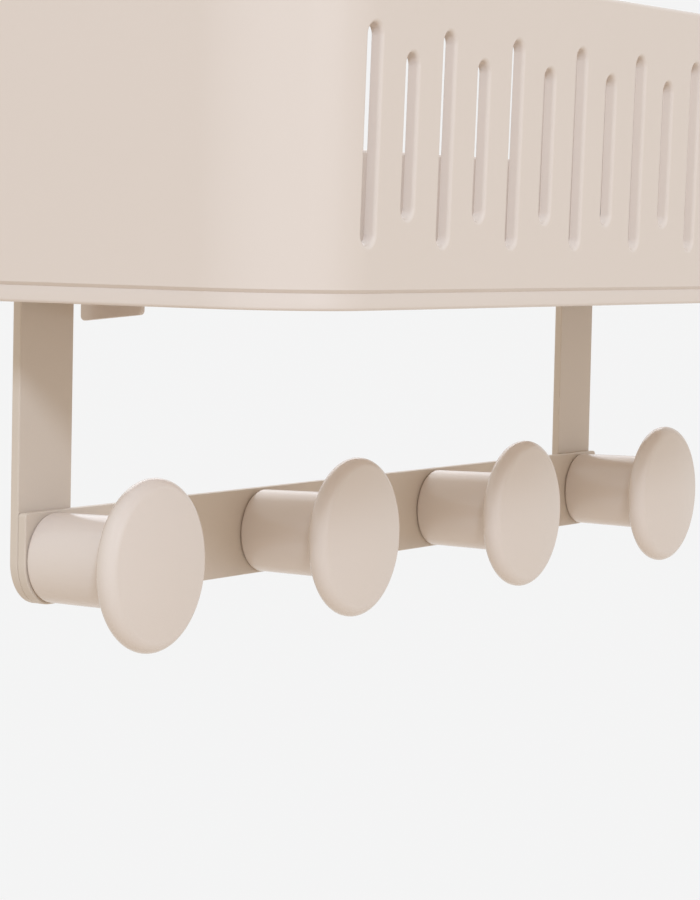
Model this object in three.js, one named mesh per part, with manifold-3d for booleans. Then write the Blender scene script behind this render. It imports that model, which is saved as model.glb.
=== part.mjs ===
// Wall shower shelf: a slotted tray on two flat straps, which carry a rail of four knobs below it.
//
// Millimetres. X runs along the wall, +Y goes into the wall and +Z is up. The wall is the plane
// Y = 0, and the origin lies on it midway between the two keyholes that the shelf hangs by.

import * as THREE from 'three';
import * as BufferGeometryUtils from 'three/addons/utils/BufferGeometryUtils.js';
import Module from 'manifold-3d';

const wasm = await Module();
wasm.setup();

// Driving dimensions

const tray = {
  width: 284.4,
  depth: 73.8,
  height: 60.5,
  wall: 2.2,
  frontCorner: 21.5,
  backCorner: 8,
  flare: 1.2,
  rimRound: 0.8,
  lowBack: 31.3,
  lowBackHalfWidth: 83,
  lowBackCorner: 10,
};

const base = {
  bandHeight: 3.8,
  recess: 0.4,
  edgeRound: 0.6,
  floor: 2.2,
  lipWall: 1.8,
  lipHeight: 4,
  lipGap: 0.3,
};

const drain = {
  width: 4.4,
  length: 19,
  pitch: 16,
  rowGap: 7,
  margin: 9,
};

const slot = {
  width: 3.9,
  pitch: 13.47,
  longCount: 10,
  mouthRound: 1.05,
  longTop: 10.8,
  longBottom: 11.5,
  shortTop: 15.3,
  shortBottom: 16.3,
};

const rib = {
  inset: 13.4,
  thick: 1.3,
  reach: 14,
  deep: 4.4,
  shallow: 3,
  round: 0.9,
  wallGap: 0.3,
};

const strap = {
  width: 17.2,
  thick: 1.8,
  footRound: 8.5,
  topRound: 3,
  topInset: 2.5,
  endInset: 29.7,
};

const rail = {
  height: 17.7,
  thick: 1.8,
  footRound: 8.2,
  topRound: 0.8,
  drop: 48.7,
};

const knob = {
  count: 4,
  baseRadius: 8.5,
  neckRadius: 8.8,
  neckFillet: 1.4,
  discRadius: 16.3,
  rimRadius: 2.3,
  reach: 22.5,
  dome: 1.1,
};

const insert = {
  radius: 3.1,
  length: 9,
  flangeRadius: 3.8,
  flangeThick: 0.8,
};

const screw = {
  radius: 2,
  knobLength: 10,
  sinkRadius: 3.5,
  sinkDepth: 1.5,
  headRadius: 3.6,
  headHeight: 2.3,
  headRound: 1.1,
  socketAcross: 2.5,
  socketDepth: 1.1,
};

const keyhole = {
  slotWidth: 4.6,
  headRadius: 4.6,
  drop: 9,
  windowMargin: 1.6,
  screwLand: 1,
};

const clearance = 0.3;
const overrun = 4;

// Facet counts

const cornerSteps = 9;
const backSteps = 4;
const roundSteps = 3;
const slotSteps = 6;
const drainSteps = 4;
const holeSides = 20;
const knobSides = 28;
const screwSides = 16;
const hexSides = 6;
const weldTolerance = 1e-4;

// Places that follow from the sizes

// The keyholes and the tray's screws stand halfway up the back, as far as it shows above the lip.
const freeHeight = tray.height - base.bandHeight - base.lipHeight;
const trayTop = (freeHeight - keyhole.drop) / 2;
const trayBottom = trayTop - tray.height;
const wallFoot = trayBottom + base.bandHeight;
const floorTop = trayBottom + base.floor;
const trayBack = -strap.thick;
const trayFront = trayBack - tray.depth;
const windowRadius = keyhole.headRadius + keyhole.windowMargin;
const screwStep = windowRadius + keyhole.screwLand + screw.headRadius;
const screwHeights = [screwStep, -keyhole.drop - screwStep];

// The outer knobs stand on the straps, and the others at even steps between them.
const strapX = tray.width / 2 - strap.endInset;
const knobStep = 2 * strapX / (knob.count - 1);
const railZ = trayBottom - rail.drop;
const railLow = railZ - rail.height / 2;
const railFront = -strap.thick - rail.thick;

// Finishes

function finish(colour, roughness, metalness) {
  return new THREE.MeshStandardMaterial({ color: colour, roughness, metalness });
}

const sandPlastic = finish(0xdbcfc5, 0.42, 0);
const sandPaint = finish(0xd6c9bc, 0.38, 0.1);
const stainless = finish(0xb8babd, 0.3, 1);
const brass = finish(0xc6a667, 0.35, 1);

// Solids from geometries

function weld(geometry) {
  const bare = new THREE.BufferGeometry();
  bare.setAttribute('position', geometry.getAttribute('position'));
  bare.setIndex(geometry.getIndex());
  const welded = BufferGeometryUtils.mergeVertices(bare, weldTolerance);
  const corners = welded.getIndex().array;
  const kept = [];
  for (let i = 0; i < corners.length; i += 3) {
    const [a, b, c] = corners.slice(i, i + 3);
    if (a !== b && b !== c && c !== a) {
      kept.push(a, b, c);
    }
  }
  welded.setIndex(kept);
  return welded;
}

function solidOf(geometry) {
  const welded = weld(geometry);
  const mesh = new wasm.Mesh({
    numProp: 3,
    vertProperties: Float32Array.from(welded.getAttribute('position').array),
    triVerts: Uint32Array.from(welded.getIndex().array),
  });
  return new wasm.Manifold(mesh);
}

function geometryOf(solid) {
  const mesh = solid.getMesh();
  const geometry = new THREE.BufferGeometry();
  geometry.setAttribute('position', new THREE.BufferAttribute(mesh.vertProperties, 3));
  geometry.setIndex(new THREE.BufferAttribute(mesh.triVerts, 1));
  geometry.computeVertexNormals();
  return geometry;
}

function cutAll(body, cutters) {
  return cutters.reduce((left, cutter) => left.subtract(cutter), body);
}

function joinAll(bodies) {
  return bodies.reduce((left, right) => left.add(right));
}

// A solid through outlines of equal point counts, each at its own height
function loft(levels) {
  const positions = [];
  const triangles = [];
  const count = levels[0].outline.length;
  for (const { outline, height } of levels) {
    for (const point of outline) {
      positions.push(point.x, point.y, height);
    }
  }
  for (let level = 0; level + 1 < levels.length; level += 1) {
    for (let i = 0; i < count; i += 1) {
      const a = level * count + i;
      const b = level * count + (i + 1) % count;
      triangles.push(a, b, b + count, a, b + count, a + count);
    }
  }
  const lid = (levels.length - 1) * count;
  for (const [a, b, c] of THREE.ShapeUtils.triangulateShape(levels[0].outline, [])) {
    triangles.push(c, b, a);
  }
  for (const [a, b, c] of THREE.ShapeUtils.triangulateShape(levels[levels.length - 1].outline, [])) {
    triangles.push(lid + a, lid + b, lid + c);
  }
  const geometry = new THREE.BufferGeometry();
  geometry.setAttribute('position', new THREE.Float32BufferAttribute(positions, 3));
  geometry.setIndex(triangles);
  return geometry;
}

// A plate drawn in X and Z, from the plane Y = back towards the room
function plate(outline, back, thick) {
  const geometry = loft([{ outline, height: 0 }, { outline, height: thick }]);
  geometry.rotateX(Math.PI / 2);
  geometry.translate(0, back, 0);
  return solidOf(geometry);
}

function column(outline, from, to) {
  return solidOf(loft([{ outline, height: from }, { outline, height: to }]));
}

// A turned solid on the Y axis, whose profile gives radius and distance from a base plane.
// The distance is measured from the plane Y = from towards the room.
function turned(profile, sides, x, from, z) {
  const points = profile.map(([radius, distance]) => new THREE.Vector2(radius, distance));
  const geometry = new THREE.LatheGeometry(points, sides);
  geometry.rotateX(Math.PI);
  geometry.translate(x, from, z);
  return solidOf(geometry);
}

// Outlines, all counterclockwise

function arc(x, y, radius, start, end, steps) {
  const points = [];
  for (let i = 0; i <= steps; i += 1) {
    const angle = start + (end - start) * i / steps;
    points.push(new THREE.Vector2(x + radius * Math.cos(angle), y + radius * Math.sin(angle)));
  }
  return points;
}

function roundedBox(box, lowRadius, highRadius, lowSteps, highSteps) {
  const quarter = Math.PI / 2;
  const { left, right, low, high } = box;
  return [
    ...arc(right - lowRadius, low + lowRadius, lowRadius, -quarter, 0, lowSteps),
    ...arc(right - highRadius, high - highRadius, highRadius, 0, quarter, highSteps),
    ...arc(left + highRadius, high - highRadius, highRadius, quarter, 2 * quarter, highSteps),
    ...arc(left + lowRadius, low + lowRadius, lowRadius, 2 * quarter, 3 * quarter, lowSteps),
  ];
}

function stadium(x, low, high, radius, steps) {
  return [
    ...arc(x, high - radius, radius, 0, Math.PI, steps),
    ...arc(x, low + radius, radius, Math.PI, 2 * Math.PI, steps),
  ];
}

function circle(x, y, radius, sides) {
  return arc(x, y, radius, 0, 2 * Math.PI * (1 - 1 / sides), sides - 1);
}

// The tray's plan, drawn inwards from the outer face at its foot. The flare moves the front and
// the sides out and leaves the back flat on the straps.
function trayPlan(inset, flare) {
  const grow = flare - inset;
  const box = {
    left: -tray.width / 2 - grow,
    right: tray.width / 2 + grow,
    low: trayFront - grow,
    high: trayBack - inset,
  };
  return roundedBox(box, tray.frontCorner + grow, tray.backCorner - inset, cornerSteps, backSteps);
}

function flareAt(z) {
  return tray.flare * (z - wallFoot) / (trayTop - wallFoot);
}

// Tray wall

function trayShell() {
  const outer = [{ outline: trayPlan(0, 0), height: wallFoot }];
  const inner = [{ outline: trayPlan(tray.wall, flareAt(wallFoot - overrun)), height: wallFoot - overrun }];
  for (let i = 0; i <= roundSteps; i += 1) {
    const angle = Math.PI / 2 * i / roundSteps;
    const drawnIn = tray.rimRound * (1 - Math.cos(angle));
    const z = trayTop - tray.rimRound * (1 - Math.sin(angle));
    outer.push({ outline: trayPlan(drawnIn, flareAt(z)), height: z });
    inner.push({ outline: trayPlan(tray.wall - drawnIn, flareAt(z)), height: z });
  }
  inner.push({ outline: trayPlan(tray.wall - tray.rimRound, tray.flare), height: trayTop + overrun });
  return solidOf(loft(outer)).subtract(solidOf(loft(inner)));
}

// One drain slot through the front, with a rounded mouth that leans with the front's flare
function slotCutter(x, low, high) {
  const levels = [];
  const mouth = slot.width / 2 + slot.mouthRound;
  const grown = (radius) => {
    const extra = radius - slot.width / 2;
    return stadium(0, -(high - low) / 2 - extra, (high - low) / 2 + extra, radius, slotSteps);
  };
  levels.push({ outline: grown(slot.width / 2), height: -tray.wall - overrun });
  for (let i = 0; i <= roundSteps; i += 1) {
    const angle = Math.PI / 2 * i / roundSteps;
    const depth = slot.mouthRound * (1 - Math.sin(angle));
    levels.push({ outline: grown(mouth - slot.mouthRound * Math.cos(angle)), height: -depth });
  }
  levels.push({ outline: grown(mouth), height: overrun });
  const geometry = loft(levels);
  geometry.rotateX(Math.PI / 2);
  geometry.rotateX(Math.atan2(tray.flare, trayTop - wallFoot));
  const middle = (low + high) / 2;
  geometry.translate(x, trayFront - flareAt(middle), middle);
  return solidOf(geometry);
}

function slotCutters() {
  const cutters = [];
  const count = 2 * slot.longCount - 1;
  for (let i = 0; i < count; i += 1) {
    const x = (i - (count - 1) / 2) * slot.pitch;
    const isLong = i % 2 === 0;
    const low = trayBottom + (isLong ? slot.longBottom : slot.shortBottom);
    const high = trayTop - (isLong ? slot.longTop : slot.shortTop);
    cutters.push(slotCutter(x, low, high));
  }
  return cutters;
}

// The back stands low between the straps, so only its two ends reach the rim
function lowBackCutter() {
  const box = {
    left: -tray.lowBackHalfWidth,
    right: tray.lowBackHalfWidth,
    low: trayBottom + tray.lowBack,
    high: trayTop + overrun + tray.lowBackCorner,
  };
  const outline = roundedBox(box, tray.lowBackCorner, tray.lowBackCorner, backSteps, backSteps);
  return plate(outline, overrun, overrun + strap.thick + tray.wall + overrun);
}

// Clearance holes for the tray screws, and a window over each keyhole for the wall screw's head
function trayBackCutters(x) {
  const cutters = [];
  const depth = tray.wall + 2 * overrun;
  for (const z of screwHeights) {
    cutters.push(plate(circle(x, z, screw.radius + clearance, holeSides), trayBack + overrun, depth));
  }
  const outline = stadium(x, -keyhole.drop - windowRadius, windowRadius, windowRadius, slotSteps);
  cutters.push(plate(outline, trayBack + overrun, depth));
  return cutters;
}

function trayWall() {
  const cutters = [
    ...slotCutters(),
    lowBackCutter(),
    ...trayBackCutters(-strapX),
    ...trayBackCutters(strapX),
  ];
  return cutAll(trayShell(), cutters);
}

// Tray base: a band under the wall's foot, a floor with drain slots, and a lip inside the wall

function baseBand() {
  const levels = [];
  for (let i = 0; i <= roundSteps; i += 1) {
    const angle = Math.PI / 2 * i / roundSteps;
    const drawnIn = base.recess + base.edgeRound * (1 - Math.sin(angle));
    const z = trayBottom + base.edgeRound * (1 - Math.cos(angle));
    levels.push({ outline: trayPlan(drawnIn, 0), height: z });
  }
  levels.push({ outline: trayPlan(base.recess, 0), height: wallFoot });
  return solidOf(loft(levels));
}

function drainCutters() {
  const cutters = [];
  const lipInner = tray.wall + base.lipGap + base.lipWall;
  const halfWidth = tray.width / 2 - lipInner - drain.margin;
  const count = Math.floor(2 * halfWidth / drain.pitch) + 1;
  const middle = (trayFront + trayBack) / 2;
  for (let i = 0; i < count; i += 1) {
    const x = (i - (count - 1) / 2) * drain.pitch;
    for (const side of [-1, 1]) {
      const y = middle + side * (drain.rowGap + drain.length) / 2;
      const outline = stadium(x, y - drain.length / 2, y + drain.length / 2, drain.width / 2, drainSteps);
      cutters.push(column(outline, trayBottom - overrun, floorTop + overrun));
    }
  }
  return cutters;
}

// A web under the floor beside the left strap, whose end bears on the wall
function supportRib(x) {
  const quarter = Math.PI / 2;
  const back = -rib.wallGap;
  const front = back - rib.reach;
  const top = trayBottom + base.floor / 2;
  const backLow = trayBottom - rib.deep + rib.round;
  const frontLow = trayBottom - rib.shallow + rib.round;
  const outline = [
    new THREE.Vector2(front, top),
    ...arc(front + rib.round, frontLow, rib.round, -2 * quarter, -quarter, roundSteps),
    ...arc(back - rib.round, backLow, rib.round, -quarter, 0, roundSteps),
    new THREE.Vector2(back, top),
  ];
  const geometry = loft([{ outline, height: 0 }, { outline, height: rib.thick }]);
  geometry.rotateX(Math.PI / 2);
  geometry.rotateZ(Math.PI / 2);
  geometry.translate(x - rib.thick / 2, 0, 0);
  return solidOf(geometry);
}

function trayBase() {
  const lipOuter = tray.wall + base.lipGap;
  const lipTop = wallFoot + base.lipHeight;
  const plug = column(trayPlan(lipOuter, 0), floorTop, lipTop);
  const pocket = column(trayPlan(lipOuter + base.lipWall, 0), floorTop, lipTop + overrun);
  const pan = cutAll(joinAll([baseBand(), plug]), [pocket, ...drainCutters()]);
  return joinAll([pan, supportRib(rib.inset - strapX)]);
}

// Straps and rail

function knobHoleCutter(x, back, depth) {
  const hole = turned([
    [0, -overrun],
    [screw.sinkRadius + clearance, -overrun],
    [screw.sinkRadius + clearance, 0],
    [screw.radius + clearance, screw.sinkDepth],
    [screw.radius + clearance, depth],
    [0, depth],
  ], holeSides, x, back, railZ);
  return hole;
}

function strapPlate(x) {
  const box = {
    left: x - strap.width / 2,
    right: x + strap.width / 2,
    low: railLow,
    high: trayTop - strap.topInset,
  };
  const outline = roundedBox(box, strap.footRound, strap.topRound, cornerSteps, backSteps);
  const depth = strap.thick + 2 * overrun;
  const cutters = screwHeights.map(
    (z) => plate(circle(x, z, screw.radius + clearance, holeSides), overrun, depth),
  );
  cutters.push(plate(circle(x, -keyhole.drop, keyhole.headRadius, holeSides), overrun, depth));
  const neck = stadium(x, -keyhole.drop, keyhole.slotWidth / 2, keyhole.slotWidth / 2, slotSteps);
  cutters.push(plate(neck, overrun, depth));
  cutters.push(knobHoleCutter(x, 0, depth));
  return cutAll(plate(outline, 0, strap.thick), cutters);
}

function knobPositions() {
  const places = [];
  for (let i = 0; i < knob.count; i += 1) {
    places.push(i * knobStep - strapX);
  }
  return places;
}

function onStrap(x) {
  return Math.abs(x) + strap.width / 2 > strapX;
}

function screwSeat(x) {
  return onStrap(x) ? 0 : -strap.thick;
}

function hookRail() {
  const half = strapX + strap.width / 2;
  const box = {
    left: -half,
    right: half,
    low: railLow,
    high: railLow + rail.height,
  };
  const outline = roundedBox(box, rail.footRound, rail.topRound, cornerSteps, roundSteps);
  const cutters = knobPositions().map(
    (x) => knobHoleCutter(x, screwSeat(x), strap.thick + rail.thick + overrun),
  );
  return cutAll(plate(outline, -strap.thick, rail.thick), cutters);
}

// Knobs and their fastenings

const insertBore = screw.radius + clearance;

function knobBody(x) {
  const bore = insert.radius + clearance;
  const boreDepth = insert.length + clearance;
  const flange = insert.flangeRadius + clearance;
  const flangeDepth = insert.flangeThick + clearance;
  const discBack = knob.reach - knob.rimRadius;
  const discFace = knob.reach + knob.rimRadius;
  const rimRing = knob.discRadius - knob.rimRadius;
  const profile = [
    [0, boreDepth],
    [bore, boreDepth],
    [bore, flangeDepth],
    [flange, flangeDepth],
    [flange, 0],
    [knob.baseRadius, 0],
  ];
  for (let i = 0; i <= roundSteps; i += 1) {
    const angle = Math.PI / 2 * i / roundSteps;
    const radius = knob.neckRadius + knob.neckFillet * (1 - Math.cos(angle));
    profile.push([radius, discBack - knob.neckFillet * (1 - Math.sin(angle))]);
  }
  for (let i = 0; i <= 2 * roundSteps; i += 1) {
    const angle = -Math.PI / 2 + Math.PI / 2 * i / roundSteps;
    const radius = rimRing + knob.rimRadius * Math.cos(angle);
    profile.push([radius, knob.reach + knob.rimRadius * Math.sin(angle)]);
  }
  for (let i = 1; i <= roundSteps; i += 1) {
    const share = 1 - i / (roundSteps + 1);
    profile.push([rimRing * share, discFace + knob.dome * (1 - share * share)]);
  }
  profile.push([0, discFace + knob.dome]);
  return turned(profile, knobSides, x, railFront, railZ);
}

function knobInsert(x) {
  const profile = [
    [insertBore, 0],
    [insert.flangeRadius, 0],
    [insert.flangeRadius, insert.flangeThick],
    [insert.radius, insert.flangeThick],
    [insert.radius, insert.length],
    [insertBore, insert.length],
    [insertBore, 0],
  ];
  return turned(profile, screwSides, x, railFront, railZ);
}

// A hex socket that is sunk to socketDepth from one end of a screw
function hexSocket(x, z, from) {
  const radius = screw.socketAcross / Math.sqrt(3);
  return plate(circle(x, z, radius, hexSides), from, screw.socketDepth + overrun);
}

function knobScrew(x) {
  const profile = [
    [0, 0],
    [screw.sinkRadius, 0],
    [screw.radius, screw.sinkDepth],
    [screw.radius, screw.knobLength],
    [0, screw.knobLength],
  ];
  const seat = screwSeat(x);
  const socket = hexSocket(x, railZ, seat + overrun);
  return turned(profile, screwSides, x, seat, railZ).subtract(socket);
}

function trayScrew(x, z) {
  const seat = trayBack - tray.wall;
  const profile = [
    [0, -tray.wall - strap.thick + clearance],
    [screw.radius, -tray.wall - strap.thick + clearance],
    [screw.radius, 0],
    [screw.headRadius, 0],
  ];
  for (let i = 0; i <= roundSteps; i += 1) {
    const angle = Math.PI / 2 * i / roundSteps;
    const radius = screw.headRadius - screw.headRound * (1 - Math.cos(angle));
    profile.push([radius, screw.headHeight - screw.headRound * (1 - Math.sin(angle))]);
  }
  profile.push([0, screw.headHeight]);
  const socket = hexSocket(x, z, seat - screw.headHeight + screw.socketDepth);
  return turned(profile, screwSides, x, seat, z).subtract(socket);
}

// Assembly

const shelf = new THREE.Group();

function addPiece(name, solid, material) {
  const mesh = new THREE.Mesh(geometryOf(solid), material);
  mesh.name = name;
  shelf.add(mesh);
}

addPiece('tray_wall', trayWall(), sandPlastic);
addPiece('tray_base', trayBase(), sandPlastic);
addPiece('strap_left', strapPlate(-strapX), sandPaint);
addPiece('strap_right', strapPlate(strapX), sandPaint);
addPiece('hook_rail', hookRail(), sandPaint);

knobPositions().forEach((x, i) => {
  addPiece(`knob_${i + 1}`, knobBody(x), sandPlastic);
  addPiece(`knob_insert_${i + 1}`, knobInsert(x), brass);
  addPiece(`knob_screw_${i + 1}`, knobScrew(x), stainless);
});

const trayScrewPlaces = [-strapX, strapX].flatMap((x) => screwHeights.map((z) => [x, z]));
trayScrewPlaces.forEach(([x, z], i) => {
  addPiece(`tray_screw_${i + 1}`, trayScrew(x, z), stainless);
});

export default shelf;
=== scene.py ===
"""Wall shower shelf: a slotted tray on two flat straps, with a rail of four towel knobs below it.

The shapes are worked out in millimetres and become metres when their meshes are made. The floor and
the lamps are placed in metres. X runs along the wall, +Y goes into the wall, whose face is the plane
Y = 0, and +Z is up.
"""

import math
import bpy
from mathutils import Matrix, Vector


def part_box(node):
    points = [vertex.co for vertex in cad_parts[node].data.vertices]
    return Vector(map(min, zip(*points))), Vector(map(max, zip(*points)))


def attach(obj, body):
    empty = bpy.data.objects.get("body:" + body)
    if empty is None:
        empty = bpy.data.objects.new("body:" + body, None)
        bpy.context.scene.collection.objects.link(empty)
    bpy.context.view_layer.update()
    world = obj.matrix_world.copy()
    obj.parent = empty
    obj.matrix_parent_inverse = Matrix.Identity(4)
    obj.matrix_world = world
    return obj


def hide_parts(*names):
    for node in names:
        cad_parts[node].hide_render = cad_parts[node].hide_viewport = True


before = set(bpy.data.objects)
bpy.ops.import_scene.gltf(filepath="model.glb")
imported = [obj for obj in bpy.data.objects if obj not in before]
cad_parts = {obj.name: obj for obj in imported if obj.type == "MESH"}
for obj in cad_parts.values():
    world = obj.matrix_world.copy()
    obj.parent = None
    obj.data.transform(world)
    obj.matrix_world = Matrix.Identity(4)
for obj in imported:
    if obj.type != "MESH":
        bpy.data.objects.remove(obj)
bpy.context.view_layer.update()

from types import SimpleNamespace

import bmesh
import bpy
from mathutils import Euler, Matrix, Vector

BODY = "root"
MM = 0.001
QUARTER = math.pi / 2


# Sizes, from the frame where it gives them and otherwise in millimetres

def box_mm(node):
    low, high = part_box(node)
    return low / MM, high / MM


wall_low, wall_high = box_mm("tray_wall")
strap_low, strap_high = box_mm("strap_left")
rail_low, rail_high = box_mm("hook_rail")
knob_low, knob_high = box_mm("knob_1")
base_high = box_mm("tray_base")[1]

tray = SimpleNamespace(
    flare=1.2,
    wall=2.2,
    front_corner=21.5,
    back_corner=8.0,
    rim_round=0.8,
    bevel_in=0.65,
    bevel_height=0.65,
    joint_drop=0.8,
    back=wall_high.y,
    top=wall_high.z,
)
# The joint line lies a little below the place where the solids meet, as the photograph shows it.
tray.foot = wall_low.z - tray.joint_drop
tray.half_width = wall_high.x - tray.flare
tray.front = wall_low.y + tray.flare

base = SimpleNamespace(
    band_height=3.0,
    recess=0.4,
    edge_round=0.6,
    bevel_in=0.25,
    bevel_height=0.9,
    floor=2.2,
    floor_fillet=1.0,
    lip_gap=0.3,
    lip_wall=1.8,
    lip_round=0.5,
    lip_top=base_high.z,
)
base.bottom = tray.foot - base.band_height
base.floor_top = base.bottom + base.floor

drain = SimpleNamespace(
    width=4.4,
    length=19.0,
    pitch=16.0,
    row_gap=7.0,
    margin=9.0,
    mouth_round=0.5,
)

slot = SimpleNamespace(
    width=3.9,
    pitch=13.47,
    count=19,
    draft=0.2,
    mouth_round=0.8,
    inner_round=0.12,
    long_top=10.8,
    long_bottom=11.5,
    short_top=15.3,
    short_bottom=16.3,
)

low_back = SimpleNamespace(
    height=31.3,
    half_width=83.0,
    corner=10.0,
    edge_round=0.8,
)

rib = SimpleNamespace(
    inset=13.4,
    thick=1.3,
    reach=14.0,
    deep=4.4,
    shallow=3.0,
    corner=0.9,
    edge_round=0.25,
    wall_gap=0.3,
)

strap = SimpleNamespace(
    foot_round=8.5,
    top_round=3.0,
    edge_round=0.3,
    thick=strap_high.y - strap_low.y,
    half_width=(strap_high.x - strap_low.x) / 2,
    x=-(strap_low.x + strap_high.x) / 2,
    foot=strap_low.z,
    top=strap_high.z,
)

rail = SimpleNamespace(
    foot_round=8.2,
    top_round=0.8,
    edge_round=0.3,
    thick=rail_high.y - rail_low.y,
    back=rail_high.y,
    front=rail_low.y,
    half_length=rail_high.x,
    foot=rail_low.z,
    top=rail_high.z,
)

knob = SimpleNamespace(
    count=4,
    base_radius=8.5,
    base_round=0.8,
    neck_radius=8.8,
    neck_fillet=1.4,
    disc_radius=16.3,
    rim_radius=2.3,
    reach=22.5,
    dome=1.1,
    z=(knob_low.z + knob_high.z) / 2,
)

insert = SimpleNamespace(
    radius=3.1,
    length=9.0,
    flange_radius=3.8,
    flange_thick=0.8,
)

screw = SimpleNamespace(
    radius=2.0,
    sink_radius=3.5,
    sink_depth=1.5,
    head_radius=3.6,
    head_height=2.3,
    head_round=1.1,
    edge_round=0.15,
    socket_across=2.5,
    socket_depth=1.1,
    knob_length=10.0,
)

keyhole = SimpleNamespace(
    slot_width=4.6,
    head_radius=4.6,
    drop=9.0,
    window_margin=1.6,
    screw_land=1.0,
)
keyhole.window_radius = keyhole.head_radius + keyhole.window_margin
screw.step = keyhole.window_radius + keyhole.screw_land + screw.head_radius
screw.heights = (screw.step, -keyhole.drop - screw.step)

CLEARANCE = 0.3
OVERRUN = 4.0
HOLE_ROUND = 0.25
AXIS_RADIUS = 0.0005
WELD_DISTANCE = 0.001

# Facet counts, where the steps of a hole go half round it, and the angle that makes an edge crisp

CORNER_STEPS = 28
SIDE_STEPS = 6
BACK_STEPS = 12
ROUND_STEPS = 5
FINE_STEPS = 15
SLOT_ARC_STEPS = 5
SLOT_SIDE_STEPS = 14
SLOT_END_STEPS = 10
SLOT_SPREAD_LOOPS = 4
CELL_ROWS = SLOT_SIDE_STEPS + 2 * SLOT_ARC_STEPS
DRAIN_STEPS = 12
HOLE_STEPS = 24
HOLE_SIDES = 2 * HOLE_STEPS
KNOB_SIDES = 144
SCREW_SIDES = 64
HEX_SIDES = 6
SMOOTH_ANGLE = math.radians(32)


# Outlines, as lists of points in a plane, all counterclockwise

def arc(x, y, radius, start, end, steps):
    points = []
    for i in range(steps + 1):
        angle = start + (end - start) * i / steps
        points.append((x + radius * math.cos(angle), y + radius * math.sin(angle)))
    return points


def rounded_box(left, right, low, high, low_radius, high_radius):
    steps = CORNER_STEPS
    return [
        *arc(right - low_radius, low + low_radius, low_radius, -QUARTER, 0, steps),
        *arc(right - high_radius, high - high_radius, high_radius, 0, QUARTER, steps),
        *arc(left + high_radius, high - high_radius, high_radius, QUARTER, 2 * QUARTER, steps),
        *arc(left + low_radius, low + low_radius, low_radius, 2 * QUARTER, 3 * QUARTER, steps),
    ]


def stadium(x, low, high, radius, steps=HOLE_STEPS):
    return [
        *arc(x, high - radius, radius, 0, 2 * QUARTER, steps),
        *arc(x, low + radius, radius, 2 * QUARTER, 4 * QUARTER, steps),
    ]


def circle(x, y, radius, sides):
    return arc(x, y, radius, 0, 4 * QUARTER * (1 - 1 / sides), sides - 1)


# Meshes

class Skin:
    """Points and faces of one closed surface, collected ring by ring."""

    def __init__(self):
        self.points = []
        self.faces = []

    def ring(self, points):
        first = len(self.points)
        self.points.extend(points)
        return list(range(first, len(self.points)))

    def bridge(self, rings):
        """A band of faces from each ring to the next, whose counts of points are equal."""
        for one, other in zip(rings, rings[1:]):
            for i, start in enumerate(one):
                j = (i + 1) % len(one)
                self.faces.append((start, one[j], other[j], other[i]))

    def through(self, outlines):
        """A closed surface through outlines, with a lid on the first and the last."""
        rings = [self.ring(points) for points in outlines]
        self.bridge(rings)
        self.faces.append(tuple(rings[0]))
        self.faces.append(tuple(rings[-1]))
        return self

    def piece(self, name):
        mesh = bpy.data.meshes.new(name)
        mesh.from_pydata([Vector(point) * MM for point in self.points], [], self.faces)
        work = bmesh.new()
        work.from_mesh(mesh)
        bmesh.ops.remove_doubles(work, verts=work.verts, dist=WELD_DISTANCE * MM)
        bmesh.ops.recalc_face_normals(work, faces=work.faces)
        work.to_mesh(mesh)
        work.free()
        made = bpy.data.objects.new(name, mesh)
        bpy.context.scene.collection.objects.link(made)
        return made


def apply_modifiers(piece):
    bpy.context.view_layer.update()
    evaluated = piece.evaluated_get(bpy.context.evaluated_depsgraph_get())
    mesh = bpy.data.meshes.new_from_object(evaluated)
    old = piece.data
    piece.modifiers.clear()
    piece.data = mesh
    bpy.data.meshes.remove(old)


def combine(piece, others, operation):
    for other in others:
        modifier = piece.modifiers.new(operation.lower(), "BOOLEAN")
        modifier.operation = operation
        modifier.solver = "EXACT"
        modifier.object = other
    apply_modifiers(piece)
    for other in others:
        bpy.data.objects.remove(other)
    return piece


def smooth(piece):
    """Smooth shading between crisp edges, with flat faces kept flat beside small rounds."""
    for face in piece.data.polygons:
        face.use_smooth = True
    piece.data.set_sharp_from_angle(angle=SMOOTH_ANGLE)
    modifier = piece.modifiers.new("even_normals", "WEIGHTED_NORMAL")
    modifier.mode = "FACE_AREA"
    modifier.keep_sharp = True
    apply_modifiers(piece)
    return piece


def upright(outline, y):
    return [(x, y, z) for x, z in outline]


def level(outline, z):
    return [(x, y, z) for x, y in outline]


def quarter_round(radius, steps=ROUND_STEPS):
    """Pairs of offset and depth round an edge or a fillet, from the side face to the front face."""
    angles = [QUARTER * i / steps for i in range(steps + 1)]
    return [(radius * (1 - math.cos(angle)), radius * (1 - math.sin(angle))) for angle in angles]


def plate(name, outline_at, back, thick, edge_round):
    """A plate in X and Z from the plane Y = back towards the room, with all its edges rounded.

    outline_at gives the outline drawn in by a distance.
    """
    edge = quarter_round(edge_round)
    back_rings = [upright(outline_at(inset), back - depth) for inset, depth in reversed(edge)]
    front_rings = [upright(outline_at(inset), back - thick + depth) for inset, depth in edge]
    return Skin().through([*back_rings, *front_rings]).piece(name)


def hole_cutter(name, outline_at, near, far, mouth_round, place):
    """A cutter for a hole from the plane near to the plane far, whose mouths are both rounded.

    outline_at gives the hole's outline grown by a distance, and place puts an outline at a depth.
    """
    side = math.copysign(1, far - near)
    mouth = [(grow, depth) for depth, grow in quarter_round(mouth_round)]
    levels = [
        (mouth_round, near - side * OVERRUN),
        *[(grow, near + side * depth) for grow, depth in mouth],
        *[(grow, far - side * depth) for grow, depth in reversed(mouth)],
        (mouth_round, far + side * OVERRUN),
    ]
    return Skin().through([place(outline_at(grow), depth) for grow, depth in levels]).piece(name)


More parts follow.
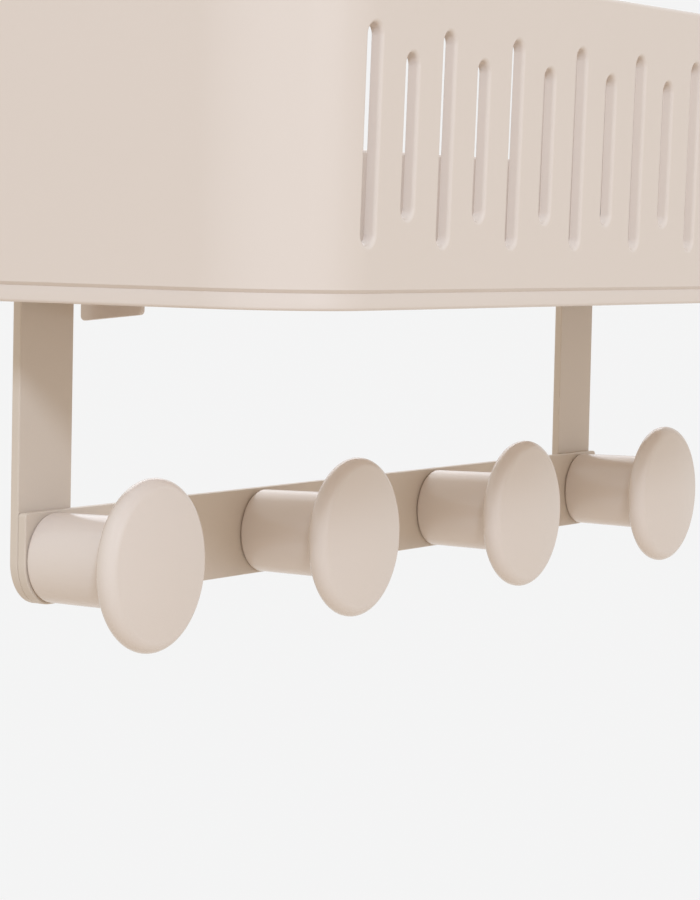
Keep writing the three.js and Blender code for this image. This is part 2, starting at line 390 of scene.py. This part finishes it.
def turned(name, profile, sides, x, start, z):
    """A turned piece on a level axis. The profile gives radius and distance from Y = start.

    The distance grows towards the room. The points of a ring on the axis are welded to one.
    """
    outlines = [upright(circle(x, z, max(radius, AXIS_RADIUS), sides), start - distance)
                for radius, distance in profile]
    return Skin().through(outlines).piece(name)


# Finishes

# The colour sockets of a Mix node, which share their names with its other sockets

MIX_COLOUR_INPUTS = (6, 7)
MIX_COLOUR_OUTPUT = 2

# The curve between a written colour and light: a straight part up to a knee, then a power

WRITTEN_TOP = 255
KNEE_SHARE = 0.04045
STRAIGHT_SLOPE = 12.92
CURVE_OFFSET = 0.055
CURVE_POWER = 2.4


class Value:
    """A socket of a shader, so that shader maths can be written as an expression."""

    def __init__(self, shading, socket):
        self.shading = shading
        self.socket = socket

    def _maths(self, operation, other):
        return self.shading.node("ShaderNodeMath", {"operation": operation}, {0: self, 1: other})

    def __add__(self, other):
        return self._maths("ADD", other)

    __radd__ = __add__

    def __mul__(self, other):
        return self._maths("MULTIPLY", other)

    __rmul__ = __mul__


class Shading:
    """The nodes of a finish or of the world while they are being made."""

    def __init__(self, owner):
        owner.use_nodes = True
        self.tree = owner.node_tree

    def node(self, kind, settings=None, inputs=None, output=0):
        made = self.tree.nodes.new(kind)
        for name, value in (settings or {}).items():
            setattr(made, name, value)
        for key, value in (inputs or {}).items():
            self.link(value, made.inputs[key])
        return Value(self, made.outputs[output])

    def link(self, value, socket):
        if isinstance(value, Value):
            self.tree.links.new(value.socket, socket)
        else:
            socket.default_value = value

    def straight_ray(self):
        """One where a thing is seen, directly or in gloss, and zero where it only gives light."""
        camera_ray, glossy_ray, clear_ray = (
            self.node("ShaderNodeLightPath", output=f"Is {kind} Ray")
            for kind in ("Camera", "Glossy", "Transmission")
        )
        return camera_ray + glossy_ray + clear_ray

    def seen_or_lighting(self, share, lighting, seen, output):
        """Shows one shader where the thing is seen, by a share, and another where it gives light."""
        mix = self.node("ShaderNodeMixShader", {}, {
            0: self.straight_ray() * share,
            1: Value(self, lighting.outputs[0]),
            2: seen,
        })
        self.link(mix, self.tree.nodes[output].inputs["Surface"])


class Finish(Shading):
    """A material that is being made, with its main shader at hand.

    Its first values also stand in for the nodes that are linked later, where those can't be read.
    """

    def __init__(self, name, **values):
        self.material = bpy.data.materials.new(name)
        super().__init__(self.material)
        self.shader = self.tree.nodes["Principled BSDF"]
        self.feed(**values)

    def noise(self, place, size, detail=2.0):
        """Soft noise from 0 to 1 whose clouds are about this many millimetres across."""
        inputs = {"Vector": place, "Scale": 1 / (size * MM), "Detail": detail}
        return self.node("ShaderNodeTexNoise", {}, inputs)

    def blend(self, share, one, other):
        first, second = MIX_COLOUR_INPUTS
        inputs = {"Factor": share, first: one, second: other}
        return self.node("ShaderNodeMix", {"data_type": "RGBA"}, inputs, MIX_COLOUR_OUTPUT)

    def place(self):
        return self.node("ShaderNodeTexCoord", output="Object")

    def bump(self, height, distance):
        inputs = {"Height": height, "Distance": distance * MM}
        return self.node("ShaderNodeBump", {}, inputs)

    def feed(self, **values):
        """Sets or links sockets of the main shader, which are named in lower case."""
        for name, value in values.items():
            self.link(value, self.shader.inputs[name.replace("_", " ").title()])
        return self.material


def between(share, low, high):
    return low + share * (high - low)


def light_share(written):
    if written <= KNEE_SHARE:
        return written / STRAIGHT_SLOPE
    return ((written + CURVE_OFFSET) / (1 + CURVE_OFFSET)) ** CURVE_POWER


def linear(colour):
    """A colour written as six hex digits, as linear red, green, blue and alpha."""
    written = [int(colour[i:i + 2], 16) / WRITTEN_TOP for i in (0, 2, 4)]
    return (*[light_share(share) for share in written], 1.0)


def sand_plastic():
    """Smooth satin moulding: faint clouds in the colour, and a very fine grain in the gloss."""
    finish = Finish("sand_plastic", roughness=0.22)
    place = finish.place()
    cloud = finish.noise(place, size=60)
    grain = finish.noise(place, size=0.8, detail=3)
    return finish.feed(
        base_color=finish.blend(cloud, linear("dbcfc6"), linear("ddd1c9")),
        roughness=between(grain, low=0.18, high=0.26),
        normal=finish.bump(grain, distance=0.006),
    )


def sand_paint():
    """Satin powder coat on steel strip: a faint orange peel and the same warm sand colour."""
    finish = Finish("sand_paint", roughness=0.36)
    place = finish.place()
    peel = finish.noise(place, size=1.6)
    speck = finish.noise(place, size=0.35)
    return finish.feed(
        base_color=finish.blend(speck, linear("cfc2b5"), linear("d3c6b9")),
        roughness=between(speck, low=0.31, high=0.41),
        normal=finish.bump(peel, distance=0.02),
    )


def stainless():
    """Plain turned stainless steel with fine tool marks."""
    finish = Finish("stainless", metallic=1.0, roughness=0.3)
    marks = finish.noise(finish.place(), size=0.25, detail=3)
    return finish.feed(
        base_color=finish.blend(marks, linear("c4c5c6"), linear("d2d2d2")),
        roughness=between(marks, low=0.22, high=0.42),
    )


def brass():
    """Turned brass, a little dull."""
    finish = Finish("brass", metallic=1.0, roughness=0.35)
    marks = finish.noise(finish.place(), size=0.3, detail=3)
    return finish.feed(
        base_color=finish.blend(marks, linear("b5924f"), linear("c9a865")),
        roughness=between(marks, low=0.28, high=0.48),
    )


FINISHES = {
    "sand_plastic": sand_plastic(),
    "sand_paint": sand_paint(),
    "stainless": stainless(),
    "brass": brass(),
}


def give_finish(piece, material_slot):
    piece.data.materials.clear()
    piece.data.materials.append(FINISHES[material_slot])


def hand_in(piece, node, material_slot):
    """Gives a made piece its finish and lets it stand for a node of the frame."""
    give_finish(piece, material_slot)
    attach(piece, BODY)
    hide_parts(node)


# Tray wall
#
# The wall is drawn along its outline. Along the outline a place is given by the run, which is the
# distance from the middle of the front on the outer face at the wall's foot, and by the height and
# the depth below the outer face.

FRONT_FLAT = tray.half_width - tray.front_corner
FRONT_ARC = tray.front_corner * QUARTER
SIDE_FLAT = tray.back - tray.back_corner - tray.front - tray.front_corner
BACK_ARC = tray.back_corner * QUARTER
BACK_FLAT = tray.half_width - tray.back_corner
SIDE_START = FRONT_FLAT + FRONT_ARC
BACK_ARC_START = SIDE_START + SIDE_FLAT
BACK_START = BACK_ARC_START + BACK_ARC
HALF_RUN = BACK_START + BACK_FLAT


def flare_at(z):
    return tray.flare * (z - tray.foot) / (tray.top - tray.foot)


def half_plan(run, depth, flare):
    """X and Y of a place on the right half of the wall."""
    grow = flare - depth
    if run <= FRONT_FLAT:
        return run, tray.front - grow
    if run <= SIDE_START:
        angle = (run - FRONT_FLAT) / tray.front_corner
        radius = tray.front_corner + grow
        centre = tray.front + tray.front_corner
        return FRONT_FLAT + radius * math.sin(angle), centre - radius * math.cos(angle)
    if run <= BACK_ARC_START:
        return tray.half_width + grow, tray.front + tray.front_corner + run - SIDE_START
    if run <= BACK_START:
        angle = (run - BACK_ARC_START) / tray.back_corner
        radius = tray.back_corner - depth
        centre_x = BACK_FLAT + flare
        centre_y = tray.back - tray.back_corner
        return centre_x + radius * math.cos(angle), centre_y + radius * math.sin(angle)
    share = (run - BACK_START) / BACK_FLAT
    return (BACK_FLAT + flare) * (1 - share), tray.back - depth


def wall_place(run, z, depth):
    x, y = half_plan(abs(run), depth, flare_at(z))
    return math.copysign(x, run), y, z


def foot_plan(depth):
    """The outline of the whole tray at its foot, drawn in by a depth."""
    runs = []
    for start, length, steps in (
        (0.0, FRONT_FLAT, 1),
        (FRONT_FLAT, FRONT_ARC, CORNER_STEPS),
        (SIDE_START, SIDE_FLAT, 1),
        (BACK_ARC_START, BACK_ARC, CORNER_STEPS),
        (BACK_START, BACK_FLAT, 1),
    ):
        runs.extend(start + length * i / steps for i in range(steps))
    right = [half_plan(run, depth, flare=0.0) for run in runs[1:]]
    left = [(-x, y) for x, y in reversed(right)]
    return right + left


def slot_reach(index):
    """The low and the high end of one drain slot."""
    is_long = index % 2 == 0
    low = base.bottom + (slot.long_bottom if is_long else slot.short_bottom)
    high = tray.top - (slot.long_top if is_long else slot.short_top)
    return low, high


def slot_loop(middle, low, high, radius):
    """The outline of a slot, in run and height, from its lower left and round to the right.

    Its points match those of the rim of the slot's cell: the ends first take the steps of the
    cell's width, and the sides those of its height.
    """
    top, bottom = high - slot.width / 2, low + slot.width / 2
    eighth = QUARTER / 2
    sides = SLOT_SIDE_STEPS
    right = (
        arc(middle, bottom, radius, -eighth, 0, SLOT_ARC_STEPS)[:-1]
        + [(middle + radius, bottom + (top - bottom) * i / sides) for i in range(sides)]
        + arc(middle, top, radius, 0, eighth, SLOT_ARC_STEPS)[:-1]
    )
    left = [(2 * middle - x, bottom + top - z) for x, z in right]
    return (
        arc(middle, bottom, radius, -3 * eighth, -eighth, SLOT_END_STEPS)[:-1]
        + right
        + arc(middle, top, radius, eighth, 3 * eighth, SLOT_END_STEPS)[:-1]
        + left
    )


def cell_rim(index):
    """The rim of one slot's cell, as columns and rows in the order of the slot's outline."""
    start, end = index * SLOT_END_STEPS, (index + 1) * SLOT_END_STEPS
    return (
        [(column, 0) for column in range(start, end)]
        + [(end, row) for row in range(CELL_ROWS)]
        + [(column, CELL_ROWS) for column in range(end, start, -1)]
        + [(start, row) for row in range(CELL_ROWS, 0, -1)]
    )


def wall_columns():
    """The runs of the wall's columns, from the left end of the row of slots and all the way round."""
    row_end = slot.count * slot.pitch / 2
    slotted = slot.count * SLOT_END_STEPS
    columns = [slot.pitch * i / SLOT_END_STEPS - row_end for i in range(slotted + 1)]
    right = []
    for start, end, steps in (
        (row_end, SIDE_START, CORNER_STEPS),
        (SIDE_START, BACK_ARC_START, SIDE_STEPS),
        (BACK_ARC_START, BACK_START, CORNER_STEPS),
        (BACK_START, HALF_RUN, BACK_STEPS),
    ):
        right.extend(start + (end - start) * (i + 1) / steps for i in range(steps))
    left = [-run for run in reversed(right[:-1])]
    return columns + right + left


def tray_wall():
    skin = Skin()
    columns = wall_columns()
    rim_foot = tray.top - tray.rim_round
    faces = {
        0.0: (tray.foot + tray.bevel_height, rim_foot),
        tray.wall: (tray.foot, rim_foot),
    }
    made = {}

    def height_of(row, depth):
        low, high = faces[depth]
        return low + (high - low) * row / CELL_ROWS

    def corner(column, row, depth):
        """The point of a column and a row on the outer or the inner face, which is made once."""
        key = (column % len(columns), row, depth)
        if key not in made:
            made[key] = skin.ring([wall_place(columns[key[0]], height_of(row, depth), depth)])[0]
        return made[key]

    def spread(index, depth, mouth):
        """Loops on one face from the rim of a slot's cell, which is the first, to the slot's mouth."""
        rim = cell_rim(index)
        around = [(columns[column], height_of(row, depth)) for column, row in rim]
        loops = [[corner(column, row, depth) for column, row in rim]]
        for i in range(1, SLOT_SPREAD_LOOPS + 1):
            share = i / SLOT_SPREAD_LOOPS
            points = [(a[0] + (b[0] - a[0]) * share, a[1] + (b[1] - a[1]) * share)
                      for a, b in zip(around, mouth)]
            loops.append(skin.ring([wall_place(run, z, depth) for run, z in points]))
        return loops

    def add_slot(index):
        middle = (index - (slot.count - 1) / 2) * slot.pitch
        low, high = slot_reach(index)
        inner_radius = slot.width / 2
        outer_radius = inner_radius + slot.draft
        tunnel = [
            *[(outer_radius + grow, depth)
              for depth, grow in quarter_round(slot.mouth_round)[1:]],
            *[(inner_radius + grow, tray.wall - depth)
              for depth, grow in reversed(quarter_round(slot.inner_round)[1:])],
        ]

        def loop(radius):
            return slot_loop(middle, low, high, radius)

        outer = spread(index, 0.0, loop(outer_radius + slot.mouth_round))
        inner = spread(index, tray.wall, loop(inner_radius + slot.inner_round))
        walls = [skin.ring([wall_place(run, z, depth) for run, z in loop(radius)])
                 for radius, depth in tunnel]
        skin.bridge([*outer, *walls, *reversed(inner)])

    for index in range(slot.count):
        add_slot(index)

    for column in range(slot.count * SLOT_END_STEPS, len(columns)):
        for row in range(CELL_ROWS):
            for depth in faces:
                skin.faces.append((
                    corner(column, row, depth), corner(column + 1, row, depth),
                    corner(column + 1, row + 1, depth), corner(column, row + 1, depth),
                ))

    def face_edge(row, depth):
        return [corner(column, row, depth) for column in range(len(columns))]

    def level_ring(depth, z):
        return skin.ring([wall_place(run, z, depth) for run in columns])

    rounds = [(inset, tray.top - depth) for inset, depth in quarter_round(tray.rim_round)[1:]]
    skin.bridge([
        face_edge(CELL_ROWS, 0.0),
        *[level_ring(inset, z) for inset, z in rounds],
        *[level_ring(tray.wall - inset, z) for inset, z in reversed(rounds)],
        face_edge(CELL_ROWS, tray.wall),
    ])
    skin.bridge([
        face_edge(0, 0.0),
        level_ring(tray.bevel_in, tray.foot),
        face_edge(0, tray.wall),
    ])

    cutters = [low_back_cutter(), *tray_back_cutters(-strap.x), *tray_back_cutters(strap.x)]
    return smooth(combine(skin.piece("tray_wall_moulding"), cutters, "DIFFERENCE"))


def low_back_cutter():
    low = base.bottom + low_back.height
    high = tray.top + OVERRUN + low_back.corner

    def outline(grow):
        half_width = low_back.half_width + grow
        return rounded_box(
            -half_width, half_width, low - grow, high, low_back.corner + grow, low_back.corner,
        )

    near, far = tray.back - tray.wall, tray.back
    return hole_cutter("low_back", outline, near, far, low_back.edge_round, upright)


def screw_hole_cutters(x, near, far):
    """Holes for the two screws that hold the tray to one strap."""
    cutters = []
    for z in screw.heights:
        def hole(grow, z=z):
            return circle(x, z, screw.radius + CLEARANCE + grow, HOLE_SIDES)
        cutters.append(hole_cutter("screw_hole", hole, near, far, HOLE_ROUND, upright))
    return cutters


def tray_back_cutters(x):
    """Holes for the tray's screws, and the window over a keyhole."""
    near, far = tray.back - tray.wall, tray.back

    def window(grow):
        radius = keyhole.window_radius + grow
        return stadium(x, -keyhole.drop - radius, radius, radius)

    return [
        *screw_hole_cutters(x, near, far),
        hole_cutter("window", window, near, far, HOLE_ROUND, upright),
    ]


# Tray base

def drain_cutters():
    lip_inner = tray.wall + base.lip_gap + base.lip_wall
    half_width = tray.half_width - lip_inner - drain.margin
    count = math.floor(2 * half_width / drain.pitch) + 1
    middle = (tray.front + tray.back) / 2
    near, far = base.bottom, base.floor_top
    cutters = []
    for i in range(count):
        x = (i - (count - 1) / 2) * drain.pitch
        for side in (-1, 1):
            y = middle + side * (drain.row_gap + drain.length) / 2

            def hole(grow, x=x, y=y):
                reach = drain.length / 2 + grow
                return stadium(x, y - reach, y + reach, drain.width / 2 + grow, DRAIN_STEPS)
            cutters.append(hole_cutter("drain", hole, near, far, drain.mouth_round, level))
    return cutters


def support_rib(x):
    """The thin web under the floor, from inside the floor down, beside a strap."""
    back = -rib.wall_gap
    front = back - rib.reach
    top = base.bottom + base.floor / 2

    def side_outline(inset):
        back_low = base.bottom - rib.deep + rib.corner
        front_low = base.bottom - rib.shallow + rib.corner
        radius = rib.corner - inset
        return [
            (front + inset, top),
            *arc(front + rib.corner, front_low, radius, -2 * QUARTER, -QUARTER, ROUND_STEPS),
            *arc(back - rib.corner, back_low, radius, -QUARTER, 0, ROUND_STEPS),
            (back - inset, top),
        ]

    def side(across, inset):
        return [(x + across, y, z) for y, z in side_outline(inset)]

    half = rib.thick / 2
    edge = quarter_round(rib.edge_round)
    outlines = [
        *[side(half - depth, inset) for inset, depth in reversed(edge)],
        *[side(depth - half, inset) for inset, depth in edge],
    ]
    return Skin().through(outlines).piece("rib")


def tray_base():
    lip_outer = tray.wall + base.lip_gap
    lip_inner = lip_outer + base.lip_wall
    foot_edge = quarter_round(base.edge_round)
    lip_edge = quarter_round(base.lip_round)
    fillet = quarter_round(base.floor_fillet)
    levels = [
        *[(base.recess + inset, base.bottom + depth) for inset, depth in reversed(foot_edge)],
        (base.recess, tray.foot - base.bevel_height),
        (base.recess + base.bevel_in, tray.foot),
        (lip_outer, tray.foot),
        *[(lip_outer + inset, base.lip_top - depth) for inset, depth in lip_edge],
        *[(lip_inner - inset, base.lip_top - depth) for inset, depth in reversed(lip_edge)],
        *[(lip_inner + inset, base.floor_top + depth) for inset, depth in fillet],
    ]
    outlines = [level(foot_plan(depth), z) for depth, z in levels]
    pan = Skin().through(outlines).piece("tray_base_moulding")
    combine(pan, [support_rib(rib.inset - strap.x)], "UNION")
    return smooth(combine(pan, drain_cutters(), "DIFFERENCE"))


# Straps and rail

def on_strap(x):
    return abs(x) + strap.half_width > strap.x


def screw_seat(x):
    """Y of the back face that a knob's screw is sunk into: a strap's, or between them the rail's."""
    return 0.0 if on_strap(x) else -strap.thick


def knob_hole_cutter(x, back, depth):
    sink = screw.sink_radius + CLEARANCE
    bore = screw.radius + CLEARANCE
    profile = [
        (0, -OVERRUN),
        (sink, -OVERRUN),
        (sink, 0),
        (bore, screw.sink_depth),
        (bore, depth),
        (0, depth),
    ]
    return turned("knob_hole", profile, HOLE_SIDES, x, back, knob.z)


def strap_plate(name, x):
    def outline(inset):
        return rounded_box(
            x - strap.half_width + inset, x + strap.half_width - inset,
            strap.foot + inset, strap.top - inset,
            strap.foot_round - inset, strap.top_round - inset,
        )

    def keyhole_outline(grow):
        """The keyhole's round head below and its narrow neck above, as one outline."""
        neck = keyhole.slot_width / 2 + grow
        head = keyhole.head_radius + grow
        meet = math.asin(neck / head)
        return [
            *arc(x, -keyhole.slot_width / 2, neck, 0, 2 * QUARTER, HOLE_STEPS),
            *arc(x, -keyhole.drop, head, QUARTER + meet, 5 * QUARTER - meet, HOLE_SIDES),
        ]

    near, far = -strap.thick, 0
    cutters = [
        *screw_hole_cutters(x, near, far),
        hole_cutter("keyhole", keyhole_outline, near, far, HOLE_ROUND, upright),
        knob_hole_cutter(x, 0, strap.thick + OVERRUN),
    ]
    made = plate(name, outline, 0, strap.thick, strap.edge_round)
    return smooth(combine(made, cutters, "DIFFERENCE"))


def knob_places():
    step = 2 * strap.x / (knob.count - 1)
    return [i * step - strap.x for i in range(knob.count)]


def hook_rail():
    def outline(inset):
        return rounded_box(
            -rail.half_length + inset, rail.half_length - inset,
            rail.foot + inset, rail.top - inset,
            rail.foot_round - inset, rail.top_round - inset,
        )

    depth = strap.thick + rail.thick + OVERRUN
    cutters = [knob_hole_cutter(x, screw_seat(x), depth) for x in knob_places()]
    made = plate("hook_rail_strip", outline, rail.back, rail.thick, rail.edge_round)
    return smooth(combine(made, cutters, "DIFFERENCE"))


# Knobs and screws

def knob_body(name, x):
    bore = insert.radius + CLEARANCE
    bore_end = insert.length + CLEARANCE
    flange = insert.flange_radius + CLEARANCE
    flange_end = insert.flange_thick + CLEARANCE
    disc_back = knob.reach - knob.rim_radius
    disc_face = knob.reach + knob.rim_radius
    rim_ring = knob.disc_radius - knob.rim_radius
    foot = quarter_round(knob.base_round)
    neck = quarter_round(knob.neck_fillet, FINE_STEPS)
    rim = arc(0, 0, knob.rim_radius, -QUARTER, QUARTER, 2 * FINE_STEPS)
    dome_shares = [1 - i / FINE_STEPS for i in range(1, FINE_STEPS + 1)]
    profile = [
        (0, bore_end),
        (bore, bore_end),
        (bore, flange_end),
        (flange, flange_end),
        (flange, 0),
        *[(knob.base_radius - inset, depth) for inset, depth in reversed(foot)],
        *[(knob.neck_radius + grow, disc_back - depth) for grow, depth in neck],
        *[(rim_ring + out, knob.reach + along) for out, along in rim],
        *[(rim_ring * share, disc_face + knob.dome * (1 - share * share)) for share in dome_shares],
    ]
    return smooth(turned(name, profile, KNOB_SIDES, x, rail.front, knob.z))


def hex_socket(x, z, start):
    """A hex cutter from Y = start towards the room, longer by OVERRUN than a socket is deep."""
    radius = screw.socket_across / math.sqrt(3)
    outline = circle(x, z, radius, HEX_SIDES)
    ends = [upright(outline, start), upright(outline, start - screw.socket_depth - OVERRUN)]
    return Skin().through(ends).piece("hex")


def knob_screw(name, x):
    seat = screw_seat(x)
    profile = [
        (0, 0),
        (screw.sink_radius - screw.edge_round, 0),
        (screw.sink_radius, screw.edge_round),
        (screw.radius, screw.sink_depth),
        (screw.radius, screw.knob_length),
        (0, screw.knob_length),
    ]
    made = turned(name, profile, SCREW_SIDES, x, seat, knob.z)
    return smooth(combine(made, [hex_socket(x, knob.z, seat + OVERRUN)], "DIFFERENCE"))


def tray_screw(name, x, z):
    seat = tray.back - tray.wall
    foot = -tray.wall - strap.thick + CLEARANCE
    profile = [
        (0, foot),
        (screw.radius, foot),
        (screw.radius, 0),
        (screw.head_radius, 0),
        *[(screw.head_radius - inset, screw.head_height - depth)
          for inset, depth in quarter_round(screw.head_round)],
        (0, screw.head_height),
    ]
    made = turned(name, profile, SCREW_SIDES, x, seat, z)
    socket = hex_socket(x, z, seat - screw.head_height + screw.socket_depth)
    return smooth(combine(made, [socket], "DIFFERENCE"))


# The whole shelf

hand_in(tray_wall(), "tray_wall", "sand_plastic")
hand_in(tray_base(), "tray_base", "sand_plastic")
hand_in(strap_plate("strap_left_strip", -strap.x), "strap_left", "sand_paint")
hand_in(strap_plate("strap_right_strip", strap.x), "strap_right", "sand_paint")
hand_in(hook_rail(), "hook_rail", "sand_paint")

for number, x in enumerate(knob_places(), start=1):
    hand_in(knob_body(f"knob_{number}_moulding", x), f"knob_{number}", "sand_plastic")
    hand_in(knob_screw(f"knob_{number}_screw", x), f"knob_screw_{number}", "stainless")
    give_finish(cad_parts[f"knob_insert_{number}"], "brass")

screw_places = [(x, z) for x in (-strap.x, strap.x) for z in screw.heights]
for number, (x, z) in enumerate(screw_places, start=1):
    button = tray_screw(f"tray_screw_{number}_button", x, z)
    hand_in(button, f"tray_screw_{number}", "stainless")


# Camera, as the photograph was taken

IMAGE_HEIGHT = 900
FOCAL_PIXELS = 3277
SENSOR = 36.0
CAMERA_PLACE = Vector((-616.2, -359.0, -24.05)) * MM
CAMERA_YAW = math.radians(59.973)
CAMERA_PITCH = math.radians(3.898)
CAMERA_ROLL = math.radians(1.232)

camera_data = bpy.data.cameras.new("photo_camera")
camera_data.sensor_width = SENSOR
camera_data.lens = SENSOR * FOCAL_PIXELS / IMAGE_HEIGHT
camera = bpy.data.objects.new("photo_camera", camera_data)
bpy.context.scene.collection.objects.link(camera)
ahead = Vector((
    math.sin(CAMERA_YAW) * math.cos(CAMERA_PITCH),
    math.cos(CAMERA_YAW) * math.cos(CAMERA_PITCH),
    -math.sin(CAMERA_PITCH),
))
turn = ahead.to_track_quat("-Z", "Y").to_matrix() @ Euler((0, 0, CAMERA_ROLL)).to_matrix()
camera.matrix_world = Matrix.Translation(CAMERA_PLACE) @ turn.to_4x4()
bpy.context.scene.camera = camera


# Floor, lamps and world, in metres

FLOOR_Z = -1.2
FLOOR_HALF = 200.0
FLOOR_COLOUR = (0.83, 0.75, 0.67, 1.0)
FLOOR_GLOW = (0.948, 0.965, 0.984, 1.0)
FLOOR_GLOW_SHARE = 0.85
PALE = 0.905
PALE_COLOUR = (PALE, PALE, PALE, 1.0)
WORLD_COLOUR = (1.0, 0.945, 0.845, 1.0)
WORLD_LEVEL = 0.78
LAMP_AIM = Vector((0, -0.04, -0.03))


def pale_floor():
    """A matt floor that looks as pale as the world behind it and still takes a faint shadow."""
    finish = Finish("pale_floor", roughness=0.9, base_color=FLOOR_COLOUR)
    glow = finish.node("ShaderNodeEmission", {}, {"Color": FLOOR_GLOW})
    finish.seen_or_lighting(FLOOR_GLOW_SHARE, finish.shader, glow, "Material Output")
    return finish.material


def studio():
    """Soft warm light from all sides, with a pale background where the world is seen."""
    world = bpy.data.worlds.new("studio")
    sky = Shading(world)
    light = sky.tree.nodes["Background"]
    sky.link(WORLD_COLOUR, light.inputs["Color"])
    sky.link(WORLD_LEVEL, light.inputs["Strength"])
    seen = sky.node("ShaderNodeBackground", {}, {"Color": PALE_COLOUR})
    sky.seen_or_lighting(1.0, light, seen, "World Output")
    return world


def lamp(name, place, size, power, colour, in_gloss=True):
    """A square lamp. One that is not in gloss gives light but shows in no reflection."""
    data = bpy.data.lights.new(name, "AREA")
    data.shape = "SQUARE"
    data.size = size
    data.energy = power
    data.color = colour
    made = bpy.data.objects.new(name, data)
    made.location = place
    made.visible_glossy = in_gloss
    made.rotation_euler = (LAMP_AIM - made.location).to_track_quat("-Z", "Y").to_euler()
    bpy.context.scene.collection.objects.link(made)


floor_mesh = bpy.data.meshes.new("floor")
floor_mesh.from_pydata(
    [(x * FLOOR_HALF, y * FLOOR_HALF, FLOOR_Z) for x, y in ((-1, -1), (1, -1), (1, 1), (-1, 1))],
    [], [(0, 1, 2, 3)],
)
floor = bpy.data.objects.new("floor", floor_mesh)
bpy.context.scene.collection.objects.link(floor)
floor.data.materials.append(pale_floor())

lamp(
    "key",
    place=(-1.5, -1.1, 0.93),
    size=0.3,
    power=19.5,
    colour=(0.67, 0.81, 1.0),
    in_gloss=False,
)
lamp("front", place=(-0.2, -2.0, 0.5), size=1.2, power=2.4, colour=(0.86, 0.90, 1.0))
lamp("back", place=(1.15, 0.95, 1.05), size=1.4, power=7.5, colour=(0.92, 0.94, 1.0))

bpy.context.scene.world = studio()
bpy.context.scene.view_settings.view_transform = "Standard"
